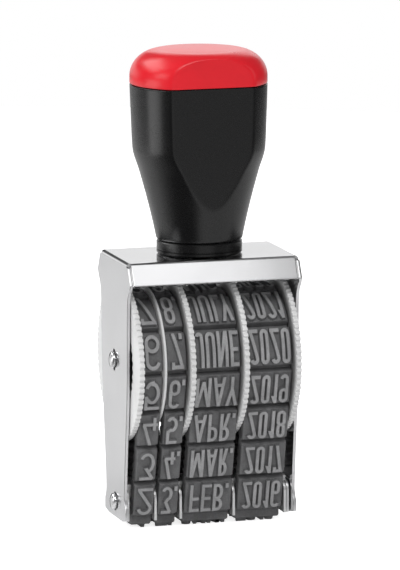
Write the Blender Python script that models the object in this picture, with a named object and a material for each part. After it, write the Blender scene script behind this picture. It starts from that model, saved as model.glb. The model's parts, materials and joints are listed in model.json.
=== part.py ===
"""Self-supporting band date stamp with a turned handle, in metres, +Z up.

The stamp stands on the type of its lowest pads, at z = 0. X runs along the wheel
axle and -Y is the front. Each band is a toothed rubber loop that runs over the drum
of its serrated setting wheel and round the anvil at the bottom.
"""

import math

import bmesh
import bpy
from mathutils import Matrix, Vector

# Counts of the mesh
FULL_TURN = 2.0 * math.pi
FINE_SIDES = 48
PLAIN_SIDES = 24
SMALL_SIDES = 16
FOLD_STEPS = 4
CORNER_STEPS = 4
CROWN_STEPS = 8
TYPE_FACETS = 3
SOLVE_STEPS = 60
SMOOTH_ANGLE = math.radians(35.0)
MERGE_DISTANCE = 0.00002
KEY_DIGITS = 7
SPOT_DIGITS = 6
OUTER_FACE_LIMIT = 0.1

# Clearances
GAP = 0.0003
SLIP = 0.0002
OVERRUN = 0.002

# Rubber bands: pads, grooves between them, raised type and inner teeth
PAD_COUNT = 14
TEETH_PER_PAD = 4
PAD_PITCH = 0.0115
GROOVE_FLOOR = 0.0007
GROOVE_WALL = 0.00055
BAND_BASE = 0.0012
PAD_RISE = 0.0021
TYPE_RISE = 0.001
TYPE_MARGIN = 0.0004
BAND_TOOTH = 0.0008
BEND_RADIUS = 0.001
FLAT_MARGIN = 0.0001
DAY_TENS_WIDTH = 0.0062
DAY_UNITS_WIDTH = 0.006
MONTH_WIDTH = 0.0143
YEAR_WIDTH = 0.0138

# Setting wheels, separator disc and axle
DRUM_TEETH = 38
RIM_THICKNESS = 0.0015
RIM_PROUD = 0.0032
RIM_TEETH = 80
RIM_TOOTH_DEPTH = 0.0007
DISC_THICKNESS = 0.0008
DISC_PROUD = 0.00035
AXLE_RADIUS = 0.0025
YEAR_SIDE_ROOM = 0.0007

# Screws with slotted heads that hold the axle and the anvil
SCREW_HEAD_RADIUS = 0.0024
SCREW_HEAD_HEIGHT = 0.0018
SCREW_SHANK_RADIUS = 0.00105
SCREW_REACH = 0.006
SCREW_SLOT_WIDTH = 0.0007
SCREW_SLOT_DEPTH = 0.0009

# Frame: one sheet folded down into two side plates and two sloping aprons
SHEET = 0.001
FOLD_RADIUS = 0.0012
PLATE_DEPTH = 0.0296
APRON_DEPTH = 0.0365
APRON_DROP = 0.00625
HEAD_ROOM = 0.0056
LUG_CLEARANCE = 0.0027
LUG_HEIGHT = 0.0041
LUG_DEPTH = 0.0234
LUG_CHAMFER_RISE = 0.0008
AXLE_SLOT_TRAVEL = 0.002
ANVIL_SLOT_TRAVEL = 0.0016
SLOT_PLAY = 0.0003
SIDE_DEPTH_SHARES = ((0.962, 0.982), (0.925, 0.972), (0.866, 0.951), (0.822, 0.922), (0.803, 0.885),
                     (0.797, 0.82), (0.778, 0.61), (0.742, 0.5), (0.66, 0.345), (0.586, 0.2),
                     (0.548, 0.1))
LUG_CORNER_SHARE = 0.64

# Anvil with its two end flanges, and the dividers beside the pads
ANVIL_HEIGHT = 0.0081
FLANGE_THICKNESS = 0.0008
FLANGE_HEIGHT = 0.0096
FLANGE_DEPTH = 0.0166
DIVIDER_THICKNESS = 0.0008
DIVIDER_DEPTH = 0.0178
CROWN_RADIUS = 0.003
ANVIL_SCREW_RISE_SHARE = 0.5

# Handle: collar, tapered body with two flat facets, and cap
COLLAR_RADIUS = 0.0127
COLLAR_HEIGHT = 0.0039
COLLAR_WALL = 0.0038
COLLAR_EDGE = 0.0004
BODY_HEIGHT = 0.0461
BODY_RADIUS = 0.0204
BODY_SHARES = ((0.0, 0.625), (0.058, 0.6515), (0.121, 0.6825), (0.252, 0.753), (0.439, 0.867),
               (0.589, 0.964), (0.757, 0.982), (0.888, 0.992), (1.0, 1.0))
CAVITY_WALL = 0.0024
CAVITY_DRAFT_SHARE = 0.6
BOSS_HEIGHT = 0.013
CAP_HEIGHT = 0.0104
CAP_WALL = 0.002
CAP_CROWN_SHARE = 0.57
CAP_CROWN_RISE = 0.0005
CAP_SPIGOT = 0.0045
FACET_SPAN = 0.0318
FACET_LEAN = 0.026

# Bolt, washer and threaded insert that hold the handle on the frame
BOLT_RADIUS = 0.002
BOLT_HEAD_RADIUS = 0.0035
BOLT_HEAD_HEIGHT = 0.0022
BOLT_REACH = 0.011
BOLT_SLOT_WIDTH = 0.001
BOLT_SLOT_DEPTH = 0.001
WASHER_RADIUS = 0.0048
WASHER_THICKNESS = 0.0008
INSERT_RADIUS = 0.0038
INSERT_LENGTH = 0.009

# Band path: its neutral line is a drum arc, two straight runs and a flat at the anvil
NEUTRAL = BAND_BASE / 2.0
STACK = NEUTRAL + PAD_RISE + TYPE_RISE
LOOP_LENGTH = PAD_COUNT * PAD_PITCH
DRUM_LINE = DRUM_TEETH * PAD_PITCH / (TEETH_PER_PAD * FULL_TURN)
TYPE_HEIGHT = PAD_PITCH - GROOVE_FLOOR - 2.0 * (GROOVE_WALL + TYPE_MARGIN)
FLAT_HALF = TYPE_HEIGHT / 2.0 + FLAT_MARGIN


def clear_scene():
    for old in list(bpy.data.objects):
        bpy.data.objects.remove(old, do_unlink=True)


def run_angle(axle_height):
    """Lean of the straight run from the vertical, from the corner bend to the drum."""
    rise = axle_height - STACK - BEND_RADIUS
    reach = math.hypot(rise, FLAT_HALF)
    return math.asin((DRUM_LINE - BEND_RADIUS) / reach) - math.atan2(FLAT_HALF, rise)


def run_length(axle_height):
    rise = axle_height - STACK - BEND_RADIUS
    return math.sqrt(rise ** 2 + FLAT_HALF ** 2 - (DRUM_LINE - BEND_RADIUS) ** 2)


def loop_length(axle_height):
    lean = run_angle(axle_height)
    bends = BEND_RADIUS * (math.pi / 2.0 - lean)
    wrap = DRUM_LINE * (math.pi / 2.0 + lean)
    return 2.0 * (FLAT_HALF + bends + run_length(axle_height) + wrap)


def taut_axle_height():
    """The axle slides in its slots until the bands are taut, which sets its height."""
    low = DRUM_LINE + STACK
    high = low + LOOP_LENGTH
    for _ in range(SOLVE_STEPS):
        middle = (low + high) / 2.0
        if loop_length(middle) < LOOP_LENGTH:
            low = middle
        else:
            high = middle
    return (low + high) / 2.0


AXLE_Z = taut_axle_height()
LEAN = run_angle(AXLE_Z)
RUN = run_length(AXLE_Z)
BEND_TURN = math.pi / 2.0 - LEAN

# Places that follow from the sizes above
DRUM_PEAK = DRUM_LINE - NEUTRAL - GAP - SLIP
DRUM_VALLEY = DRUM_PEAK - BAND_TOOTH
RIM_RADIUS = DRUM_LINE + STACK + RIM_PROUD
DISC_RADIUS = DRUM_LINE + STACK + DISC_PROUD
TOP_Z = AXLE_Z + RIM_RADIUS + HEAD_ROOM + SHEET
APRON_Z = TOP_Z - APRON_DROP
COLLAR_Z = TOP_Z + GAP
BODY_Z = COLLAR_Z + COLLAR_HEIGHT + GAP
CAP_Z = BODY_Z + BODY_HEIGHT + GAP
ANVIL_Z = STACK + NEUTRAL + BAND_TOOTH + GAP
ANVIL_SCREW_Z = LUG_CLEARANCE + FLANGE_HEIGHT * ANVIL_SCREW_RISE_SHARE
STACK_WIDTHS = (("day_tens_rim", RIM_THICKNESS), ("day_tens_band", DAY_TENS_WIDTH),
                ("disc", DISC_THICKNESS), ("day_units_band", DAY_UNITS_WIDTH),
                ("day_units_rim", RIM_THICKNESS), ("month_band", MONTH_WIDTH),
                ("month_rim", RIM_THICKNESS), ("year_band", YEAR_WIDTH), ("year_rim", RIM_THICKNESS))
INNER_WIDTH = sum(width + GAP for name, width in STACK_WIDTHS) + YEAR_SIDE_ROOM + GAP
HALF_INNER = INNER_WIDTH / 2.0
HALF_WIDTH = HALF_INNER + SHEET


def stack_places():
    """X ranges of the wheels' rims, the bands and the separator disc, from the left plate."""
    places = {}
    edge = -HALF_INNER + GAP
    for name, width in STACK_WIDTHS:
        places[name] = (edge, edge + width)
        edge += width + GAP
    return places


PLACES = stack_places()


def make_material(name, colour, roughness, metallic):
    material = bpy.data.materials.new(name)
    material.use_nodes = True
    shader = material.node_tree.nodes["Principled BSDF"]
    shader.inputs["Base Color"].default_value = (*colour, 1.0)
    shader.inputs["Roughness"].default_value = roughness
    shader.inputs["Metallic"].default_value = metallic
    material.diffuse_color = (*colour, 1.0)
    return material


def add_object(name, bm, material, smooth=False, hidden=False):
    """Turns a bmesh into an object. A hidden one is a cutter or a body to be joined."""
    bmesh.ops.recalc_face_normals(bm, faces=bm.faces)
    mesh = bpy.data.meshes.new(name)
    bm.to_mesh(mesh)
    bm.free()
    if smooth:
        mesh.shade_smooth()
        mesh.set_sharp_from_angle(angle=SMOOTH_ANGLE)
    obj = bpy.data.objects.new(name, mesh)
    bpy.context.scene.collection.objects.link(obj)
    if hidden:
        obj.hide_render = True
        obj.display_type = "WIRE"
    else:
        mesh.materials.append(material)
    return obj


def combine(obj, other, operation):
    modifier = obj.modifiers.new(operation.title() + " " + other.name, "BOOLEAN")
    modifier.operation = operation
    modifier.object = other
    modifier.solver = "EXACT"


def circle(radius, sides, start=0.0):
    return [(radius * math.cos(start + FULL_TURN * i / sides),
             radius * math.sin(start + FULL_TURN * i / sides)) for i in range(sides)]


def zigzag(outer, inner, teeth):
    """Toothed outline in (y, z) with a tooth tip at the top."""
    outline = []
    for i in range(teeth):
        for radius, shift in ((outer, 0.0), (inner, 0.5)):
            angle = math.pi / 2.0 + FULL_TURN * (i + shift) / teeth
            outline.append((radius * math.cos(angle), radius * math.sin(angle)))
    return outline


def prism(outline, low, high):
    """Body with a (y, z) outline from x = low to x = high."""
    bm = bmesh.new()
    face = bm.faces.new([bm.verts.new((low, y, z)) for y, z in outline])
    grown = bmesh.ops.extrude_face_region(bm, geom=[face])
    moved = [item for item in grown["geom"] if isinstance(item, bmesh.types.BMVert)]
    bmesh.ops.translate(bm, vec=(high - low, 0, 0), verts=moved)
    return bm


def turned(profile, sides, axis):
    """Body turned from a closed (radius, height) profile, standing on +Z or lying on +X."""
    bm = bmesh.new()
    points = [bm.verts.new((radius, 0, height)) for radius, height in profile]
    edges = [bm.edges.new((points[i - 1], points[i])) for i in range(len(points))
             if max(profile[i - 1][0], profile[i][0]) > 0]
    bmesh.ops.spin(bm, geom=points + edges, cent=(0, 0, 0), axis=(0, 0, 1), dvec=(0, 0, 0),
                   angle=FULL_TURN, steps=sides, use_merge=True, use_duplicate=False)
    bmesh.ops.remove_doubles(bm, verts=bm.verts, dist=MERGE_DISTANCE)
    if axis == "X":
        bmesh.ops.rotate(bm, verts=bm.verts, cent=(0, 0, 0),
                         matrix=Matrix.Rotation(math.pi / 2.0, 3, "Y"))
    return bm


def box(low, high):
    bm = bmesh.new()
    bmesh.ops.create_cube(bm, size=1.0)
    size = Vector(high) - Vector(low)
    bmesh.ops.scale(bm, vec=size, verts=bm.verts)
    bmesh.ops.translate(bm, vec=Vector(low) + size / 2.0, verts=bm.verts)
    return bm


def fold_arc(centre, start, turn, radius, steps):
    """Points of a fold from angle start through turn, both ends included."""
    return [(centre[0] + radius * math.cos(start + turn * i / steps),
             centre[1] + radius * math.sin(start + turn * i / steps)) for i in range(steps + 1)]


def side_outline(flat_half, apron_slope):
    """(y, z) outline of a side plate below the top fold, from its front top corner down."""
    top = TOP_Z - FOLD_RADIUS
    reach = PLATE_DEPTH / 2.0 + FOLD_RADIUS / apron_slope
    half = APRON_DEPTH / 2.0
    edge = [(flat_half, top), (reach, top), (half, APRON_Z)]
    edge += [(half * depth, LUG_CLEARANCE + (APRON_Z - LUG_CLEARANCE) * rise)
             for depth, rise in SIDE_DEPTH_SHARES]
    lug_top = LUG_CLEARANCE + LUG_HEIGHT
    edge += [(LUG_DEPTH / 2.0 - LUG_CHAMFER_RISE, lug_top + LUG_CHAMFER_RISE),
             (LUG_DEPTH / 2.0, lug_top), (LUG_DEPTH / 2.0, LUG_CLEARANCE + LUG_CHAMFER_RISE),
             (LUG_DEPTH / 2.0 * LUG_CORNER_SHARE, LUG_CLEARANCE)]
    return [(-y, z) for y, z in edge] + [(y, z) for y, z in reversed(edge)]


def stadium(half_width, centre_z, travel):
    """(y, z) outline of an upright slot with round ends."""
    upper = fold_arc((0, centre_z + travel), 0, math.pi, half_width, SMALL_SIDES // 2)
    lower = fold_arc((0, centre_z - travel), math.pi, math.pi, half_width, SMALL_SIDES // 2)
    return upper + lower


def make_frame(chrome):
    """Top plate, two side plates and two aprons as one folded skin, thickened inwards."""
    slope = APRON_DROP / (APRON_DEPTH / 2.0 - PLATE_DEPTH / 2.0)
    turn = math.atan(slope)
    tangent = FOLD_RADIUS * math.tan(turn / 2.0)
    flat_y = PLATE_DEPTH / 2.0 - tangent
    flat_x = HALF_WIDTH - FOLD_RADIUS
    apron_x = HALF_INNER - GAP
    bm = bmesh.new()
    points = {}

    def vert(x, y, z):
        key = (round(x, KEY_DIGITS), round(y, KEY_DIGITS), round(z, KEY_DIGITS))
        if key not in points:
            points[key] = bm.verts.new((x, y, z))
        return points[key]

    rim = [(flat_x, -flat_y), (flat_x, flat_y), (apron_x, flat_y), (-apron_x, flat_y),
           (-flat_x, flat_y), (-flat_x, -flat_y), (-apron_x, -flat_y), (apron_x, -flat_y)]
    bm.faces.new([vert(x, y, TOP_Z) for x, y in rim])
    side_fold = fold_arc((flat_x, TOP_Z - FOLD_RADIUS), math.pi / 2.0, -math.pi / 2.0,
                         FOLD_RADIUS, FOLD_STEPS)
    front_fold = fold_arc((flat_y, TOP_Z - FOLD_RADIUS), math.pi / 2.0, -turn,
                          FOLD_RADIUS, FOLD_STEPS)
    front_fold.append((APRON_DEPTH / 2.0, APRON_Z))
    outline = side_outline(flat_y, slope)
    for sign in (-1.0, 1.0):
        for (x0, z0), (x1, z1) in zip(side_fold, side_fold[1:]):
            bm.faces.new([vert(sign * x0, -flat_y, z0), vert(sign * x0, flat_y, z0),
                          vert(sign * x1, flat_y, z1), vert(sign * x1, -flat_y, z1)])
        for (y0, z0), (y1, z1) in zip(front_fold, front_fold[1:]):
            bm.faces.new([vert(-apron_x, sign * y0, z0), vert(apron_x, sign * y0, z0),
                          vert(apron_x, sign * y1, z1), vert(-apron_x, sign * y1, z1)])
        bm.faces.new([vert(sign * HALF_WIDTH, y, z) for y, z in outline])
    frame = add_object("frame_shell", bm, chrome)
    thick = frame.modifiers.new("Sheet thickness", "SOLIDIFY")
    thick.thickness = SHEET
    thick.offset = -1.0
    thick.use_even_offset = True
    slot_half = SCREW_SHANK_RADIUS + SLOT_PLAY
    reach = HALF_WIDTH + OVERRUN
    for name, height, travel in (("axle_slot_cutter", AXLE_Z, AXLE_SLOT_TRAVEL),
                                 ("anvil_slot_cutter", ANVIL_SCREW_Z, ANVIL_SLOT_TRAVEL)):
        cutter = add_object(name, prism(stadium(slot_half, height, travel), -reach, reach),
                            None, hidden=True)
        combine(frame, cutter, "DIFFERENCE")
    hole = BOLT_RADIUS + SLIP
    profile = [(0, TOP_Z - SHEET - OVERRUN), (hole, TOP_Z - SHEET - OVERRUN),
               (hole, TOP_Z + OVERRUN), (0, TOP_Z + OVERRUN)]
    cutter = add_object("bolt_hole_cutter", turned(profile, PLAIN_SIDES, "Z"), None, hidden=True)
    combine(frame, cutter, "DIFFERENCE")
    return frame


def path_point(s, offset):
    """Place and outward offset on the band's neutral line, s from the middle of the flat.

    Positive s runs to the front, up the front run and over the drum.
    """
    s = (s + LOOP_LENGTH / 2.0) % LOOP_LENGTH - LOOP_LENGTH / 2.0
    side = -1.0 if s >= 0 else 1.0
    s = abs(s)
    bend = BEND_RADIUS * BEND_TURN
    if s <= FLAT_HALF:
        y, z, angle = s, STACK, 0.0
    elif s <= FLAT_HALF + bend:
        angle = (s - FLAT_HALF) / BEND_RADIUS
        y = FLAT_HALF + BEND_RADIUS * math.sin(angle)
        z = STACK + BEND_RADIUS - BEND_RADIUS * math.cos(angle)
    elif s <= FLAT_HALF + bend + RUN:
        angle = BEND_TURN
        along = s - FLAT_HALF - bend
        y = FLAT_HALF + BEND_RADIUS * math.sin(angle) + along * math.cos(angle)
        z = STACK + BEND_RADIUS - BEND_RADIUS * math.cos(angle) + along * math.sin(angle)
    else:
        angle = BEND_TURN + (s - FLAT_HALF - bend - RUN) / DRUM_LINE
        y = DRUM_LINE * math.sin(angle)
        z = AXLE_Z - DRUM_LINE * math.cos(angle)
    y += offset * math.sin(angle)
    z -= offset * math.cos(angle)
    return (side * y, z)


def on_drum(s):
    start = FLAT_HALF + BEND_RADIUS * BEND_TURN + RUN
    s = (s + LOOP_LENGTH / 2.0) % LOOP_LENGTH - LOOP_LENGTH / 2.0
    return abs(s) > start


def pad_stations(centre):
    """(s, height over the neutral line) of one pad's outer points, and its top's s values."""
    half_base = (PAD_PITCH - GROOVE_FLOOR) / 2.0
    half_top = half_base - GROOVE_WALL
    tops = [centre - half_top, centre + half_top]
    if on_drum(centre - half_top) or on_drum(centre + half_top):
        step = 2.0 * half_top / TYPE_FACETS
        tops = [centre - half_top + step * i for i in range(TYPE_FACETS + 1)]
    low = NEUTRAL
    high = NEUTRAL + PAD_RISE
    stations = [(centre - half_base, low)] + [(s, high) for s in tops] + [(centre + half_base, low)]
    return stations, tops


def make_band(name, place, rubber):
    """Closed toothed loop with a raised type block on every pad."""
    low, high = place
    outer = []
    tops = []
    for pad in range(PAD_COUNT):
        stations, pad_tops = pad_stations(pad * PAD_PITCH)
        outer += stations
        tops.append(pad_tops)
    step = PAD_PITCH / TEETH_PER_PAD
    inner = []
    for tooth in range(PAD_COUNT * TEETH_PER_PAD):
        inner.append((tooth * step, -NEUTRAL))
        inner.append(((tooth + 0.5) * step, -NEUTRAL - BAND_TOOTH))
    bm = bmesh.new()
    loops = []
    for stations in (outer, inner):
        spots = [path_point(s, offset) for s, offset in stations]
        verts = [bm.verts.new((low, y, z)) for y, z in spots]
        loops.append([bm.edges.new((verts[i - 1], verts[i])) for i in range(len(verts))])
    bmesh.ops.triangle_fill(bm, use_beauty=True, use_dissolve=False, edges=loops[0] + loops[1],
                            normal=(-1, 0, 0))
    grown = bmesh.ops.extrude_face_region(bm, geom=list(bm.faces))
    moved = [item for item in grown["geom"] if isinstance(item, bmesh.types.BMVert)]
    bmesh.ops.translate(bm, vec=(high - low, 0, 0), verts=moved)
    bmesh.ops.recalc_face_normals(bm, faces=bm.faces)
    raise_type(bm, tops)
    return add_object(name, bm, rubber)


def spot_key(y, z):
    return (round(y, SPOT_DIGITS), round(z, SPOT_DIGITS))


def raise_type(bm, tops):
    """Insets the top of each pad and lifts it into a plain block where the type stands."""
    spots = {}
    for pad, pad_tops in enumerate(tops):
        for first, second in zip(pad_tops, pad_tops[1:]):
            y0, z0 = path_point(first, NEUTRAL + PAD_RISE)
            y1, z1 = path_point(second, NEUTRAL + PAD_RISE)
            spots[spot_key((y0 + y1) / 2.0, (z0 + z1) / 2.0)] = pad
    groups = {}
    for face in bm.faces:
        middle = face.calc_center_median()
        pad = spots.get(spot_key(middle.y, middle.z))
        if pad is not None and abs(face.normal.x) < OUTER_FACE_LIMIT:
            groups.setdefault(pad, []).append(face)
    for pad in sorted(groups):
        faces = groups[pad]
        bmesh.ops.inset_region(bm, faces=faces, thickness=TYPE_MARGIN, use_even_offset=True,
                               use_boundary=True)
        lifted = bmesh.ops.extrude_face_region(bm, geom=faces)
        bmesh.ops.delete(bm, geom=faces, context="FACES_ONLY")
        block = [item for item in lifted["geom"] if isinstance(item, bmesh.types.BMFace)]
        normals = {}
        for face in block:
            for vert in face.verts:
                normals.setdefault(vert, []).append(face.normal.copy())
        for vert, directions in normals.items():
            vert.co += sum(directions, Vector()).normalized() * TYPE_RISE


def make_wheel(name, rim_place, drum_place, rim_is_left, plastic):
    """Serrated rim and toothed drum in one piece, turning on the axle."""
    rim_outline = zigzag(RIM_RADIUS, RIM_RADIUS - RIM_TOOTH_DEPTH, RIM_TEETH)
    drum_outline = zigzag(DRUM_PEAK, DRUM_VALLEY, DRUM_TEETH)
    wheel = add_object(name, prism(rim_outline, *rim_place), plastic)
    inside = (rim_place[0] + rim_place[1]) / 2.0
    if rim_is_left:
        drum = prism(drum_outline, inside, drum_place[1])
    else:
        drum = prism(drum_outline, drum_place[0], inside)
    drum_body = add_object(name + "_drum", drum, None, hidden=True)
    combine(wheel, drum_body, "UNION")
    bore = AXLE_RADIUS + SLIP
    reach = HALF_WIDTH
    cutter = add_object(name + "_bore", prism(circle(bore, PLAIN_SIDES), -reach, reach),
                        None, hidden=True)
    combine(wheel, cutter, "DIFFERENCE")
    for piece in (wheel, drum_body, cutter):
        piece.location.z = AXLE_Z
    return wheel


def make_disc(plastic):
    """Thin plain disc that keeps the two day bands apart."""
    low, high = PLACES["disc"]
    profile = [(AXLE_RADIUS + SLIP, low), (DISC_RADIUS, low), (DISC_RADIUS, high),
               (AXLE_RADIUS + SLIP, high)]
    disc = add_object("day_separator_disc", turned(profile, FINE_SIDES, "X"), plastic, smooth=True)
    disc.location.z = AXLE_Z
    return disc


def make_axle(steel):
    """Rod between the side plates, with a tapped hole in each end for its screw."""
    half = HALF_INNER - GAP
    hole = SCREW_SHANK_RADIUS + SLIP
    depth = SCREW_REACH - SHEET
    profile = [(0, -half + depth), (hole, -half + depth), (hole, -half), (AXLE_RADIUS, -half),
               (AXLE_RADIUS, half), (hole, half), (hole, half - depth), (0, half - depth)]
    axle = add_object("wheel_axle", turned(profile, PLAIN_SIDES, "X"), steel, smooth=True)
    axle.location.z = AXLE_Z
    return axle


def make_screw(name, height, side, steel):
    """Slotted screw through a side plate, head outside."""
    seat = HALF_WIDTH + GAP
    top = seat + SCREW_HEAD_HEIGHT
    tip = HALF_INNER - SCREW_REACH + SHEET + GAP
    profile = [(0, tip), (SCREW_SHANK_RADIUS, tip), (SCREW_SHANK_RADIUS, seat),
               (SCREW_HEAD_RADIUS, seat), (SCREW_HEAD_RADIUS, top - SLIP),
               (SCREW_HEAD_RADIUS - SLIP, top), (0, top)]
    bm = turned(profile, SMALL_SIDES, "X")
    screw = add_object(name, bm, steel, smooth=True)
    half = SCREW_SLOT_WIDTH / 2.0
    reach = SCREW_HEAD_RADIUS + OVERRUN
    slot = add_object(name + "_slot", box((top - SCREW_SLOT_DEPTH, -half, -reach),
                                          (top + OVERRUN, half, reach)), None, hidden=True)
    combine(screw, slot, "DIFFERENCE")
    for piece in (screw, slot):
        piece.location.z = height
        piece.rotation_euler.z = 0.0 if side > 0 else math.pi
    return screw


def crowned(half_depth, low, high):
    """(y, z) outline of an upright plate with two rounded top corners."""
    outline = [(-half_depth, low), (half_depth, low)]
    outline += fold_arc((half_depth - CROWN_RADIUS, high - CROWN_RADIUS), 0, math.pi / 2.0,
                        CROWN_RADIUS, CORNER_STEPS)
    outline += fold_arc((-half_depth + CROWN_RADIUS, high - CROWN_RADIUS), math.pi / 2.0,
                        math.pi / 2.0, CROWN_RADIUS, CORNER_STEPS)
    return outline


def anvil_half(z, inset):
    """Half depth of the space inside the band loop at height z, less an inset."""
    vertex = FLAT_HALF + BEND_RADIUS * math.tan(BEND_TURN / 2.0)
    return vertex + (z - STACK) * math.tan(LEAN) - inset / math.cos(LEAN)


def make_anvil(metal):
    """Tapered bar that backs the lowest pads, with a flange at each end."""
    inset = ANVIL_Z - STACK
    top = ANVIL_Z + ANVIL_HEIGHT
    outline = [(-anvil_half(ANVIL_Z, inset), ANVIL_Z), (anvil_half(ANVIL_Z, inset), ANVIL_Z),
               (anvil_half(top, inset), top), (-anvil_half(top, inset), top)]
    outer = HALF_INNER - GAP
    inner = outer - FLANGE_THICKNESS
    middle = (inner + outer) / 2.0
    anvil = add_object("anvil_bar", prism(outline, -middle, middle), metal)
    flange = crowned(FLANGE_DEPTH / 2.0, LUG_CLEARANCE, LUG_CLEARANCE + FLANGE_HEIGHT)
    for name, low in (("left_flange", -outer), ("right_flange", inner)):
        body = add_object(name, prism(flange, low, low + FLANGE_THICKNESS), None, hidden=True)
        combine(anvil, body, "UNION")
    hole = SCREW_SHANK_RADIUS + SLIP
    depth = SCREW_REACH - SHEET
    for name, low, high in (("left_tapping", -outer - OVERRUN, -outer + depth),
                            ("right_tapping", outer - depth, outer + OVERRUN)):
        tapping = add_object(name, prism(circle(hole, SMALL_SIDES), low, high), None, hidden=True)
        tapping.location.z = ANVIL_SCREW_Z
        combine(anvil, tapping, "DIFFERENCE")
    return anvil


def make_divider(name, place, metal):
    """Sheet plate beside the pads, threaded on the anvil through a window."""
    middle = (place[0] + place[1]) / 2.0
    low = middle - DIVIDER_THICKNESS / 2.0
    high = middle + DIVIDER_THICKNESS / 2.0
    outline = crowned(DIVIDER_DEPTH / 2.0, LUG_CLEARANCE, LUG_CLEARANCE + FLANGE_HEIGHT)
    divider = add_object(name, prism(outline, low, high), metal)
    inset = ANVIL_Z - STACK - SLIP
    bottom = ANVIL_Z - SLIP
    top = LUG_CLEARANCE + FLANGE_HEIGHT + OVERRUN
    window = [(-anvil_half(bottom, inset), bottom), (anvil_half(bottom, inset), bottom),
              (anvil_half(top, inset), top), (-anvil_half(top, inset), top)]
    cutter = add_object(name + "_window", prism(window, low - OVERRUN, high + OVERRUN), None,
                        hidden=True)
    combine(divider, cutter, "DIFFERENCE")
    return divider


def facet_cutters():
    """Two leaning blocks whose inner faces are the flat facets of body and cap."""
    cutters = []
    for name, side in (("front_facet", -1.0), ("rear_facet", 1.0)):
        half = FACET_SPAN / 2.0
        low = (-BODY_RADIUS - OVERRUN, 0 if side > 0 else -BODY_RADIUS, -BODY_HEIGHT - OVERRUN)
        high = (BODY_RADIUS + OVERRUN, BODY_RADIUS if side > 0 else 0, CAP_HEIGHT + OVERRUN)
        cutter = add_object(name, box(low, high), None, hidden=True)
        cutter.location = (0, side * half, CAP_Z)
        cutter.rotation_euler.x = -side * FACET_LEAN
        cutters.append(cutter)
    return cutters


def make_collar(plastic):
    bore = COLLAR_RADIUS - COLLAR_WALL
    top = COLLAR_Z + COLLAR_HEIGHT
    profile = [(bore, COLLAR_Z), (COLLAR_RADIUS, COLLAR_Z), (COLLAR_RADIUS, top - COLLAR_EDGE),
               (COLLAR_RADIUS - COLLAR_EDGE, top), (bore, top)]
    return add_object("neck_collar", turned(profile, FINE_SIDES, "Z"), plastic, smooth=True)


def cavity_radius(z):
    """Radius of the handle's drafted cavity, which narrows from the mouth to the boss."""
    mouth = FACET_SPAN / 2.0 - CAVITY_WALL
    foot = (COLLAR_RADIUS - CAVITY_WALL) * CAVITY_DRAFT_SHARE
    depth = (BODY_Z + BODY_HEIGHT - z) / (BODY_HEIGHT - BOSS_HEIGHT)
    return mouth + (foot - mouth) * depth


def make_handle(plastic, cutters):
    """Hollow tapered body with a spigot through the collar and a boss for the insert."""
    spigot = COLLAR_RADIUS - COLLAR_WALL - SLIP
    hole = INSERT_RADIUS + SLIP
    outside = [(BODY_RADIUS * width, BODY_Z + BODY_HEIGHT * rise) for rise, width in BODY_SHARES]
    top = BODY_Z + BODY_HEIGHT
    floor = BODY_Z + BOSS_HEIGHT
    hole_top = COLLAR_Z + INSERT_LENGTH + GAP
    profile = [(hole, COLLAR_Z), (spigot, COLLAR_Z), (spigot, BODY_Z)] + outside
    profile += [(cavity_radius(top), top), (cavity_radius(floor), floor), (0, floor),
                (0, hole_top), (hole, hole_top)]
    body = add_object("handle_body", turned(profile, FINE_SIDES, "Z"), plastic, smooth=True)
    for cutter in cutters:
        combine(body, cutter, "DIFFERENCE")
    return body


def make_cap(plastic, cutters):
    """Domed cap whose ring seats inside the mouth of the handle body."""
    crown = BODY_RADIUS * CAP_CROWN_SHARE
    shoulder = CAP_HEIGHT - CAP_WALL - CAP_CROWN_RISE
    foot = CAP_Z - CAP_SPIGOT
    ring = cavity_radius(foot) - GAP
    profile = [(0, CAP_Z), (ring - CAP_WALL, CAP_Z), (ring - CAP_WALL, foot), (ring, foot),
               (cavity_radius(CAP_Z) - GAP, CAP_Z), (BODY_RADIUS, CAP_Z)]
    for i in range(CROWN_STEPS + 1):
        angle = math.pi / 2.0 * i / CROWN_STEPS
        profile.append((crown + (BODY_RADIUS - crown) * math.cos(angle),
                        CAP_Z + CAP_WALL + shoulder * math.sin(angle)))
    profile.append((0, CAP_Z + CAP_HEIGHT))
    cap = add_object("handle_cap", turned(profile, FINE_SIDES, "Z"), plastic, smooth=True)
    for cutter in cutters:
        combine(cap, cutter, "DIFFERENCE")
    return cap


def make_bolt(steel):
    """Slotted bolt from below through washer and top plate into the handle's insert."""
    seat = TOP_Z - SHEET - WASHER_THICKNESS - 2.0 * GAP
    low = seat - BOLT_HEAD_HEIGHT
    tip = seat + BOLT_REACH
    profile = [(0, low), (BOLT_HEAD_RADIUS - SLIP, low), (BOLT_HEAD_RADIUS, low + SLIP),
               (BOLT_HEAD_RADIUS, seat), (BOLT_RADIUS, seat), (BOLT_RADIUS, tip), (0, tip)]
    bolt = add_object("handle_bolt", turned(profile, PLAIN_SIDES, "Z"), steel, smooth=True)
    half = BOLT_SLOT_WIDTH / 2.0
    reach = BOLT_HEAD_RADIUS + OVERRUN
    slot = add_object("handle_bolt_slot", box((-half, -reach, low - OVERRUN),
                                              (half, reach, low + BOLT_SLOT_DEPTH)),
                      None, hidden=True)
    combine(bolt, slot, "DIFFERENCE")
    return bolt


def make_washer(steel):
    top = TOP_Z - SHEET - GAP
    bore = BOLT_RADIUS + SLIP
    profile = [(bore, top - WASHER_THICKNESS), (WASHER_RADIUS, top - WASHER_THICKNESS),
               (WASHER_RADIUS, top), (bore, top)]
    return add_object("bolt_washer", turned(profile, PLAIN_SIDES, "Z"), steel, smooth=True)


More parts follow.
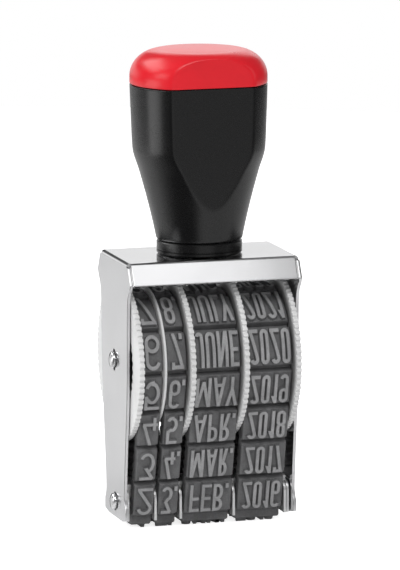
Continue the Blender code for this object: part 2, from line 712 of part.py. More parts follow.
def make_insert(brass):
    """Threaded insert moulded into the foot of the handle."""
    bore = BOLT_RADIUS + SLIP
    profile = [(bore, COLLAR_Z), (INSERT_RADIUS, COLLAR_Z),
               (INSERT_RADIUS, COLLAR_Z + INSERT_LENGTH), (bore, COLLAR_Z + INSERT_LENGTH)]
    return add_object("threaded_insert", turned(profile, PLAIN_SIDES, "Z"), brass, smooth=True)


def make_wheels(plastic):
    for name, rim_is_left in (("day_tens", True), ("day_units", False), ("month", False),
                              ("year", False)):
        make_wheel(name + "_wheel", PLACES[name + "_rim"], PLACES[name + "_band"], rim_is_left,
                   plastic)


def make_bands(rubber):
    for name in ("day_tens_band", "day_units_band", "month_band", "year_band"):
        make_band(name, PLACES[name], rubber)


def make_dividers(metal):
    for name, place in (("day_divider", "disc"), ("day_month_divider", "day_units_rim"),
                        ("month_year_divider", "month_rim"), ("year_divider", "year_rim")):
        make_divider(name, PLACES[place], metal)


def main():
    clear_scene()
    chrome = make_material("bright_chrome", (0.78, 0.78, 0.79), 0.12, 1.0)
    steel = make_material("zinc_steel", (0.62, 0.62, 0.63), 0.32, 1.0)
    metal = make_material("nickel_sheet", (0.8, 0.8, 0.8), 0.28, 1.0)
    brass = make_material("insert_brass", (0.72, 0.55, 0.26), 0.35, 1.0)
    black = make_material("black_plastic", (0.02, 0.02, 0.021), 0.3, 0.0)
    red = make_material("red_plastic", (0.75, 0.02, 0.035), 0.3, 0.0)
    white = make_material("white_plastic", (0.72, 0.72, 0.72), 0.4, 0.0)
    rubber = make_material("grey_rubber", (0.085, 0.085, 0.09), 0.65, 0.0)
    make_frame(chrome)
    make_axle(steel)
    make_wheels(white)
    make_disc(white)
    make_bands(rubber)
    make_anvil(metal)
    make_dividers(metal)
    for end, side in (("left", -1.0), ("right", 1.0)):
        make_screw("axle_screw_" + end, AXLE_Z, side, steel)
        make_screw("anvil_screw_" + end, ANVIL_SCREW_Z, side, steel)
    cutters = facet_cutters()
    make_collar(black)
    make_handle(black, cutters)
    make_cap(red, cutters)
    make_bolt(steel)
    make_washer(steel)
    make_insert(brass)


main()
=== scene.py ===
import json
import math

import bmesh
import bpy
from mathutils import Matrix, Vector


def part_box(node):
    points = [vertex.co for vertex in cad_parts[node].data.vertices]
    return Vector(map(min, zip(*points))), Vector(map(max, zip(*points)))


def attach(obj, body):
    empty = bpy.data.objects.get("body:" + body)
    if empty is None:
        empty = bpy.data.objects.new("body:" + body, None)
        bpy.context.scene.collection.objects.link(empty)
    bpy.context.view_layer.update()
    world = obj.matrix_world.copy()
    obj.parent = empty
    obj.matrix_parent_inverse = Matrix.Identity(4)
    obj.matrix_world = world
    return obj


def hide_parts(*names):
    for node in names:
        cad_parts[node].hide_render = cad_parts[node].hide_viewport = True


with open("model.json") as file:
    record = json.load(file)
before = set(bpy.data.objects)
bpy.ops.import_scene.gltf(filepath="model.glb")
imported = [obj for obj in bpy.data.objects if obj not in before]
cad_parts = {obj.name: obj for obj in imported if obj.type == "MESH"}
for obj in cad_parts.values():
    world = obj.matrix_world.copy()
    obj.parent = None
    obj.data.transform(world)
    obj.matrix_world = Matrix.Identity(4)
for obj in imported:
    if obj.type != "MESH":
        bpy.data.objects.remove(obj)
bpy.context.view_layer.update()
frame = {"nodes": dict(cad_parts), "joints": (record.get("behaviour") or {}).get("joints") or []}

# Looks of the band date stamp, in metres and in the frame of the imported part.
# The bands, wheels, handle and screws are rebuilt here in finer detail on the same sizes.

MM = 0.001
TAU = 2.0 * math.pi
WELD = 0.001 * MM
FLAT_ANGLE = math.radians(0.6)

# Band path, as in the part's source
NEUTRAL = 0.6 * MM
PAD_RISE = 2.1 * MM
TYPE_RISE = 1.0 * MM
STACK = NEUTRAL + PAD_RISE + TYPE_RISE
PAD_COUNT = 14
DRUM_TEETH = 38
TEETH_PER_PAD = 4
PAD_PITCH = 11.5 * MM
GROOVE_FLOOR = 0.7 * MM
GROOVE_WALL = 0.55 * MM
BAND_TOOTH = 0.8 * MM
TYPE_HEIGHT = 8.9 * MM
BEND_RADIUS = 1.0 * MM
FLAT_HALF = TYPE_HEIGHT / 2.0 + 0.1 * MM
DRUM_LINE = DRUM_TEETH * PAD_PITCH / (TEETH_PER_PAD * TAU)
LOOP = PAD_COUNT * PAD_PITCH
AXLE_Z = frame["joints"][0]["pos_m"][2]
RISE = AXLE_Z - STACK - BEND_RADIUS
LEAN = (math.asin((DRUM_LINE - BEND_RADIUS) / math.hypot(RISE, FLAT_HALF))
        - math.atan2(FLAT_HALF, RISE))
RUN = math.sqrt(RISE ** 2 + FLAT_HALF ** 2 - (DRUM_LINE - BEND_RADIUS) ** 2)
BEND_TURN = math.pi / 2.0 - LEAN
BEND_LENGTH = BEND_RADIUS * BEND_TURN
DRUM_START = FLAT_HALF + BEND_LENGTH + RUN

# Painted shade on the wheels' sides that face the bands, darkest below the pads' tops and lighter
# towards the rim's edge: (share of its reach from the pads' tops, tone)
SHADE_LOW = DRUM_LINE + NEUTRAL + PAD_RISE
SHADE_REACH = 3.5 * MM
SHADE_TONES = ((0.0, 0.32), (0.38, 0.36), (0.56, 0.56), (0.76, 0.88), (0.92, 1.0))


def path_point(s, offset):
    """(y, z) on the band at s from the middle of the print face, front side positive."""
    s = (s + LOOP / 2.0) % LOOP - LOOP / 2.0
    side = -1.0 if s >= 0 else 1.0
    s = abs(s)
    if s <= FLAT_HALF:
        y, z, angle = s, STACK, 0.0
    elif s <= DRUM_START:
        angle = min((s - FLAT_HALF) / BEND_RADIUS, BEND_TURN)
        along = max(s - FLAT_HALF - BEND_LENGTH, 0.0)
        y = FLAT_HALF + BEND_RADIUS * math.sin(angle) + along * math.cos(angle)
        z = STACK + BEND_RADIUS - BEND_RADIUS * math.cos(angle) + along * math.sin(angle)
    else:
        angle = BEND_TURN + (s - DRUM_START) / DRUM_LINE
        y = DRUM_LINE * math.sin(angle)
        z = AXLE_Z - DRUM_LINE * math.cos(angle)
    return side * (y + offset * math.sin(angle)), z - offset * math.cos(angle)


# Materials

def add_node(tree, kind, inputs=None, **settings):
    """New node with its settings. Each input gets a value, or the socket that feeds it."""
    node = tree.nodes.new(kind)
    for key, value in settings.items():
        setattr(node, key, value)
    for key, value in (inputs or {}).items():
        if isinstance(value, bpy.types.NodeSocket):
            tree.links.new(value, node.inputs[key])
        else:
            node.inputs[key].default_value = value
    return node


def new_material(name, colour, roughness, metallic=0.0, specular=0.5):
    material = bpy.data.materials.new(name)
    material.use_nodes = True
    shader = material.node_tree.nodes["Principled BSDF"]
    shader.inputs["Base Color"].default_value = (*colour, 1.0)
    shader.inputs["Roughness"].default_value = roughness
    shader.inputs["Metallic"].default_value = metallic
    shader.inputs["Specular IOR Level"].default_value = specular
    material.diffuse_color = (*colour, 1.0)
    return material, material.node_tree, shader


def mapped(tree, stretch=(1.0, 1.0, 1.0)):
    """Object coordinates, stretched so that grain can run along one way."""
    coords = add_node(tree, "ShaderNodeTexCoord")
    return add_node(tree, "ShaderNodeMapping", {"Vector": coords.outputs["Object"],
                                                "Scale": stretch}).outputs["Vector"]


def noise(tree, vector, scale, detail=3.0, roughness=0.55):
    return add_node(tree, "ShaderNodeTexNoise", {
        "Vector": vector, "Scale": scale, "Detail": detail,
        "Roughness": roughness}).outputs["Fac"]


def ramp(tree, value, stops):
    node = add_node(tree, "ShaderNodeValToRGB", {"Fac": value})
    elements = node.color_ramp.elements
    while len(elements) < len(stops):
        elements.new(0.5)
    for element, (place, colour) in zip(elements, stops):
        element.position = place
        element.color = (*colour, 1.0)
    return node.outputs["Color"]


def spread(tree, value, low, high):
    return add_node(tree, "ShaderNodeMapRange", {
        "Value": value, "To Min": low, "To Max": high}).outputs["Result"]


def bump(tree, shader, height, distance, strength=1.0):
    node = add_node(tree, "ShaderNodeBump", {
        "Height": height, "Distance": distance, "Strength": strength})
    tree.links.new(node.outputs["Normal"], shader.inputs["Normal"])


def shaded(colour, share):
    return tuple(min(1.0, channel * share) for channel in colour)


def sheet_metal(name, colour, roughness, wobble, grain=(1.0, 1.0, 1.0), depth=0.004 * MM):
    """Plated sheet: soft cloudy gloss and very shallow waves from rolling and plating."""
    material, tree, shader = new_material(name, colour, roughness, 1.0)
    vector = mapped(tree, grain)
    cloud = noise(tree, vector, 90.0, 2.0)
    fine = noise(tree, vector, 2600.0, 4.0)
    tint = ramp(tree, cloud, ((0.3, shaded(colour, 0.965)), (0.7, shaded(colour, 1.02))))
    tree.links.new(tint, shader.inputs["Base Color"])
    tree.links.new(spread(tree, fine, roughness - wobble, roughness + wobble),
                   shader.inputs["Roughness"])
    bump(tree, shader, fine, depth)
    return material


def moulded(name, colour, roughness, wobble, grain_depth, grain_scale=3200.0):
    """Moulded plastic: fine spark-eroded grain, faint flow clouds and handling marks."""
    material, tree, shader = new_material(name, colour, roughness)
    vector = mapped(tree)
    cloud = noise(tree, vector, 70.0, 3.0)
    fine = noise(tree, vector, grain_scale, 3.0)
    tint = ramp(tree, cloud, ((0.3, shaded(colour, 0.93)), (0.7, shaded(colour, 1.05))))
    tree.links.new(tint, shader.inputs["Base Color"])
    mixed = add_node(tree, "ShaderNodeMath", {0: cloud, 1: fine}, operation="MULTIPLY")
    tree.links.new(spread(tree, mixed.outputs[0], roughness - wobble, roughness + 2.0 * wobble),
                   shader.inputs["Roughness"])
    bump(tree, shader, fine, grain_depth)
    return material


def vulcanised(name, colour, roughness):
    """Rubber: matt, speckled with talc, slightly pitted."""
    material, tree, shader = new_material(name, colour, roughness, specular=0.35)
    vector = mapped(tree)
    patch = noise(tree, vector, 260.0, 4.0)
    speck = noise(tree, vector, 3000.0, 2.0, 0.7)
    speck_share = 0.45
    rest = add_node(tree, "ShaderNodeMath", {0: patch, 1: 1.0 - speck_share},
                    operation="MULTIPLY")
    mixed = add_node(tree, "ShaderNodeMath", {0: speck, 1: speck_share, 2: rest.outputs[0]},
                     operation="MULTIPLY_ADD")
    tint = ramp(tree, mixed.outputs[0], ((0.36, shaded(colour, 0.8)), (0.5, colour),
                                         (0.66, shaded(colour, 1.28))))
    tree.links.new(tint, shader.inputs["Base Color"])
    tree.links.new(spread(tree, patch, roughness - 0.08, roughness + 0.1),
                   shader.inputs["Roughness"])
    bump(tree, shader, speck, 0.02 * MM, 0.7)
    return material


def add_painted_side_shade(material):
    """Paints shade on a wheel's side, darkest below the band's pad tops and lighter towards the
    rim's edge, by the distance from the axle.
    """
    tree = material.node_tree
    shader = tree.nodes["Principled BSDF"]
    unshaded = shader.inputs["Base Color"].links[0].from_socket
    coords = add_node(tree, "ShaderNodeTexCoord")
    from_axle = add_node(tree, "ShaderNodeVectorMath", {
        0: coords.outputs["Object"], 1: (0.0, 1.0, 1.0), 2: (0.0, 0.0, -AXLE_Z)},
        operation="MULTIPLY_ADD")
    radius = add_node(tree, "ShaderNodeVectorMath", {0: from_axle.outputs["Vector"]},
                      operation="LENGTH")
    share = add_node(tree, "ShaderNodeMapRange", {
        "Value": radius.outputs["Value"], "From Min": SHADE_LOW, "From Max": SHADE_LOW + SHADE_REACH})
    # Painted shade: the tones darken the side below the pads' tops.
    side_shade = ramp(tree, share.outputs["Result"],
                [(place, (tone, tone, tone)) for place, tone in SHADE_TONES])
    mixed = add_node(tree, "ShaderNodeVectorMath", {0: unshaded, 1: side_shade}, operation="MULTIPLY")
    tree.links.new(mixed.outputs["Vector"], shader.inputs["Base Color"])
    return material


CHROME = sheet_metal("plated_sheet", (0.72, 0.72, 0.73), 0.14, 0.025, depth=0.001 * MM)
NICKEL = sheet_metal("nickel_plate", (0.93, 0.93, 0.93), 0.42, 0.05, (1.0, 1.0, 0.06))
ZINC = sheet_metal("zinc_plate", (0.60, 0.60, 0.61), 0.3, 0.07)
SCREW = sheet_metal("polished_screw", (0.88, 0.88, 0.89), 0.28, 0.05)
SHEARED = sheet_metal("sheared_edge", (0.84, 0.84, 0.85), 0.4, 0.06)
# Near-black metal for the screws' slot walls: painted shade in the slots.
SHADED_SLOT = sheet_metal("slot_painted_shade", (0.035, 0.035, 0.037), 0.5, 0.08)
BRASS = sheet_metal("insert_metal", (0.72, 0.55, 0.26), 0.34, 0.06)
BLACK = moulded("black_moulding", (0.006, 0.006, 0.0063), 0.28, 0.05, 0.006 * MM)
RED = moulded("red_moulding", (0.86, 0.010, 0.022), 0.3, 0.04, 0.005 * MM)
WHITE_FINISH = ((0.84, 0.84, 0.84), 0.42, 0.06, 0.006 * MM, 2400.0)
WHITE = moulded("white_moulding", *WHITE_FINISH)
# White moulding with painted shade, for the wheels' sides that face the bands.
SIDE_SHADED = add_painted_side_shade(moulded("side_shaded_moulding", *WHITE_FINISH))
RUBBER = vulcanised("grey_rubber", (0.15, 0.15, 0.153), 0.6)
TYPE_RUBBER = vulcanised("grey_rubber_type_face", (0.335, 0.335, 0.34), 0.5)


# Mesh helpers

def finish_mesh(node, bm, materials, body, angle=32.0):
    """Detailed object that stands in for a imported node, sharp at edges over the angle."""
    bmesh.ops.recalc_face_normals(bm, faces=bm.faces)
    mesh = bpy.data.meshes.new(node + "_detail")
    bm.to_mesh(mesh)
    bm.free()
    mesh.shade_smooth()
    mesh.set_sharp_from_angle(angle=math.radians(angle))
    for material in materials:
        mesh.materials.append(material)
    obj = bpy.data.objects.new(node + "_detail", mesh)
    bpy.context.scene.collection.objects.link(obj)
    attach(obj, body)
    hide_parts(node)
    return obj


def skin_rings(bm, rings, closed_loop=True):
    """Quads between successive closed rings of vertices."""
    faces = []
    count = len(rings)
    for i in range(count if closed_loop else count - 1):
        first, second = rings[i], rings[(i + 1) % count]
        size = len(first)
        for j in range(size):
            k = (j + 1) % size
            faces.append(bm.faces.new((first[j], first[k], second[k], second[j])))
    return faces


def skin_capped(bm, rings):
    """Closed body over a stack of rings, its first and last ring filled."""
    skin_rings(bm, rings, False)
    bm.faces.new(rings[0])
    bm.faces.new(rings[-1])


def wheel_ring(bm, profile_at, angles):
    """Body round the X axle: profile_at(angle) gives its closed (x, radius) section."""
    rings = []
    for angle in angles:
        rings.append([bm.verts.new((x, -r * math.sin(angle), AXLE_Z + r * math.cos(angle)))
                      for x, r in profile_at(angle)])
    skin_rings(bm, rings)


def upright_ring(bm, profile, sides):
    """Body turned round +Z from a closed (radius, z) section that stays off the axis."""
    rings = []
    for i in range(sides):
        angle = TAU * i / sides
        rings.append([bm.verts.new((r * math.cos(angle), r * math.sin(angle), z))
                      for r, z in profile])
    skin_rings(bm, rings)


def weight_normals(obj):
    """Lets the large flat faces lead the shading at bevelled edges."""
    weighted = obj.modifiers.new("Flat faces lead", "WEIGHTED_NORMAL")
    weighted.weight = 100
    weighted.keep_sharp = True


# Camera, at the place fitted to the photograph, its distance and shift in millimetres

AZIMUTH, ELEVATION, ROLL = 0.2798, 0.1628, -0.0049
AIM_Z = 71.241 * MM
DISTANCE = 1760.0
SHIFT = 0.154
PICTURE_WIDTH, PICTURE_HEIGHT = 400.0, 570.0
FOCAL_PIXELS = 5929.1
SENSOR = 24.0


def make_camera():
    back = Vector((-math.sin(AZIMUTH) * math.cos(ELEVATION),
                   -math.cos(AZIMUTH) * math.cos(ELEVATION), math.sin(ELEVATION)))
    forward = -back
    right = forward.cross(Vector((0, 0, 1))).normalized()
    up = right.cross(forward)
    place = Vector((0, 0, AIM_Z)) + back * DISTANCE * MM + right * SHIFT * MM
    turned_right = math.cos(ROLL) * right + math.sin(ROLL) * up
    turned_up = -math.sin(ROLL) * right + math.cos(ROLL) * up
    data = bpy.data.cameras.new("camera")
    data.sensor_fit = "VERTICAL"
    data.sensor_height = SENSOR
    data.sensor_width = SENSOR * PICTURE_WIDTH / PICTURE_HEIGHT
    data.lens = FOCAL_PIXELS * SENSOR / PICTURE_HEIGHT
    data.clip_start = 0.05
    data.clip_end = 60.0
    camera = bpy.data.objects.new("camera", data)
    bpy.context.scene.collection.objects.link(camera)
    camera.matrix_world = Matrix((
        (turned_right.x, turned_up.x, back.x, place.x),
        (turned_right.y, turned_up.y, back.y, place.y),
        (turned_right.z, turned_up.z, back.z, place.z),
        (0.0, 0.0, 0.0, 1.0)))
    bpy.context.scene.camera = camera


# Setting wheels: flat-tipped teeth with soft corners on the rim, and a toothed drum

RIM_TEETH = 80
RIM_THICKNESS = 1.5 * MM
RIM_TOOTH_DEPTH = 0.68 * MM
RIM_EDGE = 0.16 * MM
EDGE_SHARE = 0.3
DRUM_PEAK = DRUM_LINE - NEUTRAL - 0.5 * MM
BORE = 2.7 * MM
DISC_SIDES = 160
DISC_EDGE_STEPS = 8
# One tooth: (place in its pitch, share of the depth below the tip)
RIM_TOOTH = ((-0.5, 1.0), (-0.32, 1.0), (-0.27, 0.25), (-0.19, 0.0), (0.19, 0.0), (0.27, 0.25),
             (0.32, 1.0))
DRUM_TOOTH = ((-0.36, 1.0), (-0.14, 0.0), (0.14, 0.0), (0.36, 1.0))


def toothed(teeth, tip, depth, tooth):
    """{angle: radius} round a wheel with the given tooth."""
    step = TAU / teeth
    return {step * (i + place): tip - depth * drop for i in range(teeth) for place, drop in tooth}


def make_wheel(name, body, rim_low, rim_high, drum_low, drum_high, rim_radius):
    bm = bmesh.new()
    cut = EDGE_SHARE * RIM_EDGE
    below = rim_radius - RIM_TOOTH_DEPTH - 2.0 * RIM_EDGE
    rim = toothed(RIM_TEETH, rim_radius, RIM_TOOTH_DEPTH, RIM_TOOTH)

    def rim_section(angle):
        r = rim[angle]
        return ((rim_low, BORE), (rim_low, below), (rim_low, r - RIM_EDGE),
                (rim_low + cut, r - cut), (rim_low + RIM_EDGE, r), (rim_high - RIM_EDGE, r),
                (rim_high - cut, r - cut), (rim_high, r - RIM_EDGE), (rim_high, below),
                (rim_high, BORE))
    wheel_ring(bm, rim_section, rim)
    # The side that faces the band takes the material with painted shade.
    band_side = rim_high if rim_low == drum_low else rim_low
    for face in bm.faces:
        if all(abs(vert.co.x - band_side) < WELD for vert in face.verts):
            face.material_index = 1
    drum = toothed(DRUM_TEETH, DRUM_PEAK, BAND_TOOTH, DRUM_TOOTH)

    def drum_section(angle):
        r = drum[angle]
        return ((drum_low, BORE), (drum_low, r), (drum_high, r), (drum_high, BORE))
    wheel_ring(bm, drum_section, drum)
    finish_mesh(name, bm, [WHITE, SIDE_SHADED], body)


def make_disc(name, body):
    low, high = (corner.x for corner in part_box(name))
    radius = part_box(name)[1].z - AXLE_Z
    bm = bmesh.new()
    half = (high - low) / 2.0
    section = [(low, BORE)]
    for i in range(DISC_EDGE_STEPS + 1):
        angle = math.pi * i / DISC_EDGE_STEPS
        section.append(((low + high) / 2.0 - half * math.cos(angle),
                        radius - half + half * math.sin(angle)))
    section.append((high, BORE))
    wheel_ring(bm, lambda angle: section, [TAU * i / DISC_SIDES for i in range(DISC_SIDES)])
    finish_mesh(name, bm, [WHITE], body)


# Type: condensed strokes of even weight. A glyph is a width and its strokes. A stroke is a
# line of (x, y) points, closed or open. "cut" strokes end level, as diagonals do.

STROKE = 1.06 * MM
HALF = STROKE / 2.0
TALL = TYPE_HEIGHT
TYPE_WALL = 0.2 * MM
TYPE_SHOULDER = 0.1 * MM
TYPE_ROOT = 0.06 * MM
# Each further stroke of a character stands this much higher, so that no faces coincide
STROKE_STEP = 0.012 * MM
LONGEST = 1.1 * MM
SHORTEST = 1e-6
SHARPEST = 0.5
PAD_MARGIN = 1.1 * MM
NARROWING = 0.98
USUAL_WIDTH = 3.1
WIDTHS = {"M": 4.9, "N": 3.9, "A": 4.0, "V": 4.0, "Y": 3.9, "U": 3.5, "O": 3.4, "G": 3.4,
          "C": 3.2, "D": 3.4, "1": 1.9, ".": 1.15, "0": 2.95, "J": 2.9, "L": 2.9, "T": 3.2}
# Pairs that are set closer, in millimetres
KERNING = {"7.": 1.2, "LY": 1.0, "AY": 0.4, "V.": 0.6}


def arc(cx, cy, rx, ry, start, end, steps=8):
    return [(cx + rx * math.cos(math.radians(start + (end - start) * i / steps)),
             cy + ry * math.sin(math.radians(start + (end - start) * i / steps)))
            for i in range(steps + 1)]


def glyph(character, wide):
    """(width, strokes) of one character; strokes are (kind, points)."""
    h, t = TALL, HALF
    top, low = h - t, t
    w = WIDTHS.get(character, USUAL_WIDTH) * (1.0 if character == "." else wide) * MM
    left, right, mid = t, w - t, w / 2.0
    r = mid - t
    line, cut, loop = "line", "cut", "loop"
    head = arc(mid, top - r, r, r, 0, 180)
    foot = arc(mid, low + r, r, r, 180, 360)
    left_stem = (line, [(left, 0), (left, h)])
    right_stem = (line, [(right, 0), (right, h)])
    top_bar = (line, [(left, top), (w, top)])
    strokes = {
        "0": [(loop, head + foot)],
        "O": [(loop, head + foot)],
        "1": [right_stem,
              (cut, [(left * 0.75, h - 2.3 * MM), (right, h - 0.15 * MM)])],
        "2": [(line, arc(mid, top - r, r, r, 170, -12, 10)
               + [(left + 0.1 * MM, low + 0.5 * MM), (left + 0.05 * MM, low)]),
              (line, [(0, low), (w, low)])],
        "3": [(line, [(0.1 * MM, top), (right, top)]),
              (cut, [(mid - 0.35 * MM, h * 0.56), (right - 0.1 * MM, h - t)]),
              (line, [(mid - 0.3 * MM, h * 0.57)]
               + arc(mid, low + r * 1.55, r, r * 1.55, 78, -90, 10)
               + arc(mid, low + r, r, r, -90, -168, 4))],
        "4": [(cut, [(left, h * 0.26), (mid + 0.25 * MM, h)]),
              (line, [(0.1 * MM, h * 0.26), (w, h * 0.26)]),
              (line, [(right - 0.45 * MM, 0), (right - 0.45 * MM, h * 0.47)])],
        "5": [(line, [(w - 0.1 * MM, top), (left, top)]),
              (line, [(left, h), (left, h * 0.5)]),
              (line, [(left, h * 0.56)] + arc(mid, low + r * 1.75, r, r * 1.6, 112, -90, 12)
               + arc(mid, low + r, r, r, -90, -168, 4))],
        "6": [(loop, arc(mid, h * 0.47 - r, r, r, 0, 180) + foot),
              (line, [(left, low + r)] + arc(mid, top - r, r, r, 180, 12, 10))],
        "7": [(line, [(0, top), (w, top)]), (line, [(left, h), (left, h - 1.75 * MM)]),
              (cut, [(left + 0.35 * MM, 0), (right, h - t)])],
        "8": [(loop, arc(mid, top - r, r * 0.93, r, 0, 180)
               + arc(mid, h * 0.53 + r * 0.96, r * 0.93, r, 180, 360)),
              (loop, arc(mid, h * 0.53 - r, r, r, 0, 180) + foot)],
        "9": [(loop, head + arc(mid, h * 0.53 + r, r, r, 180, 360)),
              (line, [(right, top - r)] + arc(mid, low + r, r, r, 0, -168, 10))],
        ".": [(line, [(mid, 0), (mid, 1.5 * MM)])],
        "A": [(cut, [(t * 1.02, 0), (mid, h)]), (cut, [(w - t * 1.02, 0), (mid, h)]),
              (line, [(left + 0.5 * MM, h * 0.24), (right - 0.5 * MM, h * 0.24)])],
        "B": [left_stem,
              (line, [(left, top), (mid, top)] + arc(mid, h * 0.765, r, top - h * 0.765, 90, -90)
               + [(mid, h * 0.53), (left, h * 0.53)]),
              (line, [(left, h * 0.53), (mid, h * 0.53)]
               + arc(mid, (h * 0.53 + low) / 2.0, r, (h * 0.53 - low) / 2.0, 90, -90)
               + [(left, low)])],
        "C": [(line, arc(mid, top - r, r, r, 14, 180) + arc(mid, low + r, r, r, 180, 346))],
        "D": [left_stem,
              (line, [(left, top), (mid, top)] + arc(mid, top - r, r, r, 90, 0)
               + arc(mid, low + r, r, r, 0, -90) + [(left, low)])],
        "E": [left_stem, top_bar, (line, [(left, h * 0.52), (w - 0.25 * MM, h * 0.52)]),
              (line, [(left, low), (w, low)])],
        "F": [left_stem, top_bar, (line, [(left, h * 0.52), (w - 0.25 * MM, h * 0.52)])],
        "G": [(line, arc(mid, top - r, r, r, 14, 180) + foot + [(right, h * 0.46)]),
              (line, [(mid, h * 0.46), (w, h * 0.46)])],
        "J": [(line, [(right, h), (right, low + r)] + arc(mid, low + r, r, r, 0, -172, 10))],
        "L": [left_stem, (line, [(left, low), (w, low)])],
        "M": [left_stem, right_stem, (cut, [(left + 0.12 * MM, h), (mid, 0.9 * MM)]),
              (cut, [(right - 0.12 * MM, h), (mid, 0.9 * MM)])],
        "N": [left_stem, right_stem, (cut, [(left + 0.1 * MM, h), (right - 0.1 * MM, 0)])],
        "P": [left_stem,
              (line, [(left, top), (mid, top)] + arc(mid, h * 0.73, r, top - h * 0.73, 90, -90)
               + [(left, h * 0.46 + t)])],
        "R": [left_stem,
              (line, [(left, top), (mid, top)] + arc(mid, h * 0.74, r, top - h * 0.74, 90, -90)
               + [(left, h * 0.48 + t)]),
              (cut, [(mid - 0.05 * MM, h * 0.5), (right + 0.02 * MM, 0)])],
        "S": [(line, arc(mid, top - r, r, r, 14, 180)
               + arc(mid, h * 0.5 + r * 0.62, r, r, 190, 250, 4)
               + arc(mid, h * 0.5 - r * 0.62, r, r, 70, 10, 4)
               + arc(mid, low + r, r, r, 0, -166, 8))],
        "T": [(line, [(mid, 0), (mid, h)]), (line, [(0, top), (w, top)])],
        "U": [(line, [(left, h), (left, low + r)] + foot + [(right, h)])],
        "V": [(cut, [(t * 1.02, h), (mid, 0)]), (cut, [(w - t * 1.02, h), (mid, 0)])],
        "Y": [(line, [(mid, 0), (mid, h * 0.46)]), (cut, [(t * 1.05, h), (mid, h * 0.4)]),
              (cut, [(w - t * 1.05, h), (mid, h * 0.4)])],
    }
    return w, strokes[character]


def subdivided(points, closed):
    """The same line with no long segment, so that it can bend with the band."""
    count = len(points)
    made = []
    for i in range(count if closed else count - 1):
        (x0, y0), (x1, y1) = points[i], points[(i + 1) % count]
        length = math.hypot(x1 - x0, y1 - y0)
        if length < SHORTEST:
            continue
        pieces = max(1, math.ceil(length / LONGEST))
        made += [(x0 + (x1 - x0) * k / pieces, y0 + (y1 - y0) * k / pieces) for k in range(pieces)]
    if not closed:
        made.append(points[-1])
    return made


def side_vectors(points, closed, level_ends):
    """Sideways vector at each point, lengthened at corners so that the stroke keeps its width."""
    count = len(points)
    directions = []
    for i in range(count if closed else count - 1):
        (x0, y0), (x1, y1) = points[i], points[(i + 1) % count]
        length = math.hypot(x1 - x0, y1 - y0)
        directions.append(((x1 - x0) / length, (y1 - y0) / length))
    if level_ends:
        dy = directions[0][1]
        return [(math.copysign(1.0, -dy) / abs(dy), 0.0)] * count
    sides = []
    for i in range(count):
        before = directions[i - 1] if closed or i > 0 else directions[0]
        after = directions[i % len(directions)] if closed or i < count - 1 else directions[-1]
        nx, ny = -(before[1] + after[1]), before[0] + after[0]
        size = math.hypot(nx, ny)
        nx, ny = nx / size, ny / size
        share = nx * -after[1] + ny * after[0]
        sides.append((nx / max(share, SHARPEST), ny / max(share, SHARPEST)))
    return sides


def add_stroke(bm, kind, points, to_world, lift):
    """Raised stroke with sloping walls and a softened edge, closed all round."""
    closed = kind == "loop"
    points = subdivided(points, closed)
    sides = side_vectors(points, closed, kind == "cut")
    rise = TYPE_RISE + lift
    foot = HALF + TYPE_WALL
    shoulder = HALF + 0.03 * MM
    face = HALF - 0.09 * MM
    section = ((-foot, -TYPE_ROOT), (-shoulder, rise - TYPE_SHOULDER), (-face, rise),
               (face, rise), (shoulder, rise - TYPE_SHOULDER), (foot, -TYPE_ROOT))
    face_column = 2
    rings = []
    for (x, y), (nx, ny) in zip(points, sides):
        rings.append([bm.verts.new(to_world(x + nx * d, y + ny * d, height))
                      for d, height in section])
    for i, quad in enumerate(skin_rings(bm, rings, closed)):
        if i % len(section) == face_column:
            quad.material_index = 1
    if not closed:
        bm.faces.new(rings[0])
        bm.faces.new(list(reversed(rings[-1])))


def add_text(bm, text, centre_s, low_x, high_x, spacing, wide):
    """Text across a pad, its tops towards the print face, so that it prints upright."""
    room = high_x - low_x - PAD_MARGIN
    while True:
        parts = [glyph(character, wide) for character in text]
        gaps = [spacing - KERNING.get(first + second, 0.0) * wide * MM
                for first, second in zip(text, text[1:])] + [0.0]
        total = sum(part[0] for part in parts) + sum(gaps)
        if total <= room:
            break
        wide *= NARROWING
    start = (low_x + high_x - total) / 2.0
    for (width, strokes), gap in zip(parts, gaps):
        for number, (kind, points) in enumerate(strokes):
            def to_world(x, y, height, left=start):
                py, pz = path_point(centre_s + TALL / 2.0 - y, NEUTRAL + PAD_RISE + height)
                return left + x, py, pz
            add_stroke(bm, kind, points, to_world, STROKE_STEP * number)
        start += width + gap


# Type bands: toothed inside, with a bevelled pad for each text

CLEAR_TOOTH = 0.42 * MM
DRUM_APPROACH = 4.0 * MM
# Where an inner tooth's corners lie in its step, and the same as shares of half a step
TOOTH_CORNERS = (0.14, 0.36, 0.64, 0.86)
TOOTH_FOOT = 0.72
TOOTH_FLANK = 0.44
PAD_SHOULDER = 0.9
PAD_OUTSET = 0.06 * MM
PAD_INSET = 0.1 * MM
NEAREST = 0.05 * MM
BAND_BEVEL = 0.42 * MM
BAND_DROP = 0.3 * MM
# Shares of the bevel and of the drop at the band's rounded sides
CORNER_INSET = 0.3
CORNER_DROP = 0.45
GROOVE_DROP = 0.35


def tooth_offset(s):
    """Depth of the band's inner teeth at s: flat tips and valleys with sloping flanks. Round the
    drum they are lower, so that the drum's teeth pass a band that stands still."""
    step = PAD_PITCH / TEETH_PER_PAD
    share = abs(((s / step) % 1.0) - 0.5) * 2.0
    from_face = abs((s + LOOP / 2.0) % LOOP - LOOP / 2.0)
    height = CLEAR_TOOTH if from_face > DRUM_START - DRUM_APPROACH else BAND_TOOTH
    return height * min(1.0, max(0.0, (TOOTH_FOOT - share) / TOOTH_FLANK))


